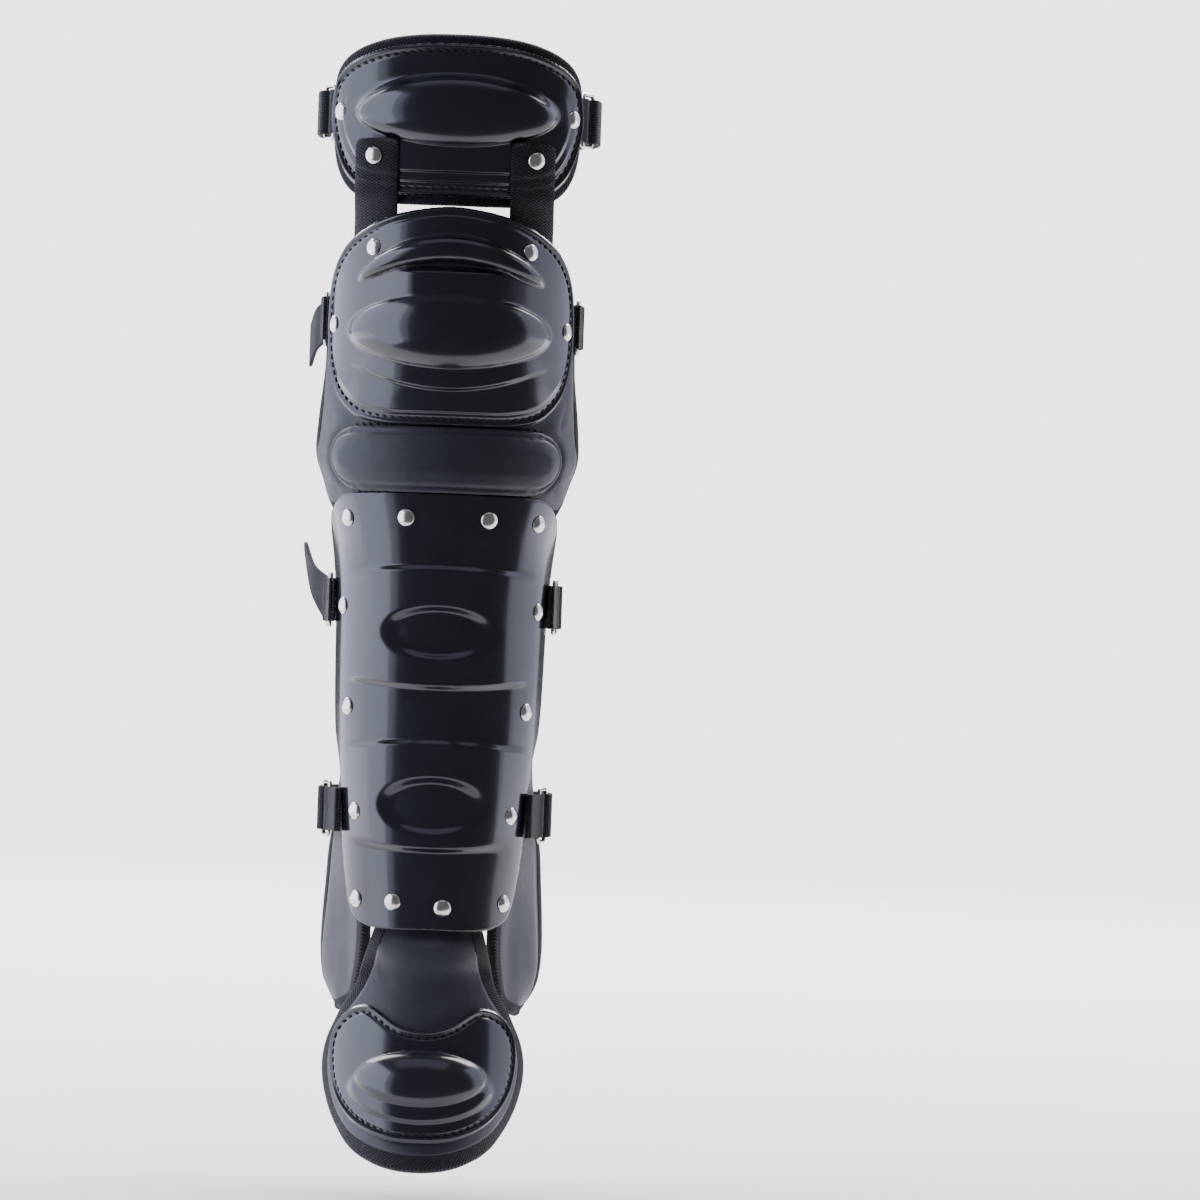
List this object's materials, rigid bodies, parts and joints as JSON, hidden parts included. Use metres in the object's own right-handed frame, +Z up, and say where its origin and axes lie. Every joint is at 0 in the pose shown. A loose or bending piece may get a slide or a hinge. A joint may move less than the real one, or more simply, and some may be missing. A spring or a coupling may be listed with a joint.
{
  "type": "catcher leg guard",
  "caption": "Leg guard for a ball-game catcher: moulded thigh, knee, shin and foot plates on bound pads, with calf wings and elastic straps.",
  "frame": {"origin": "knee seat: the inner face of the padding behind the middle of the knee cap, on the plane of symmetry", "axes": "+Z up the leg, -Y to the front of the guard, +X to the right as seen from the front"},
  "size_m": [0.1676, 0.1772, 0.6524],
  "materials": {
    "shell": "high gloss, near black with a slight blue tint",
    "padding": "soft sheen grained vinyl leather",
    "wing": "matt knitted cover",
    "binding": "matt ribbed woven tape",
    "webbing": "matt woven nylon",
    "elastic": "matt ribbed elastic",
    "nickel": "bright nickel plate"
  },
  "bodies": {
    "root": {"thigh_shell": "shell", "knee_shell": "shell", "shin_shell": "shell", "foot_shell": "shell", "thigh_pad": "padding", "body_pad": "padding", "foot_pad": "padding", "label_pad": "padding", "thigh_binding": "binding", "body_binding": "binding", "foot_binding": "binding", "wing_left": "wing", "wing_right": "wing", "wing_binding_left": "binding", "wing_binding_right": "binding", "web_left": "webbing", "web_right": "webbing", "strap_thigh": "elastic", "ring_thigh_left": "nickel", "tab_thigh_left": "webbing", "ring_thigh_right": "nickel", "tab_thigh_right": "webbing", "strap_knee": "elastic", "ring_knee_left": "nickel", "tab_knee_left": "webbing", "ring_knee_right": "nickel", "tab_knee_right": "webbing", "strap_upper_calf": "elastic", "ring_upper_calf_left": "nickel", "tab_upper_calf_left": "webbing", "ring_upper_calf_right": "nickel", "tab_upper_calf_right": "webbing", "strap_lower_calf": "elastic", "ring_lower_calf_left": "nickel", "tab_lower_calf_left": "webbing", "ring_lower_calf_right": "nickel", "tab_lower_calf_right": "webbing", "rivet_thigh_side_left": "nickel", "rivet_thigh_web_left": "nickel", "rivet_knee_web_left": "nickel", "rivet_knee_side_left": "nickel", "rivet_shin_top_left": "nickel", "rivet_shin_upper_left": "nickel", "rivet_shin_middle_left": "nickel", "rivet_shin_lower_left": "nickel", "rivet_shin_bottom_left": "nickel", "rivet_shin_head_left": "nickel", "rivet_shin_heel_left": "nickel", "rivet_thigh_side_right": "nickel", "rivet_thigh_web_right": "nickel", "rivet_knee_web_right": "nickel", "rivet_knee_side_right": "nickel", "rivet_shin_top_right": "nickel", "rivet_shin_upper_right": "nickel", "rivet_shin_middle_right": "nickel", "rivet_shin_lower_right": "nickel", "rivet_shin_bottom_right": "nickel", "rivet_shin_head_right": "nickel", "rivet_shin_heel_right": "nickel"}
  },
  "joints": []
}
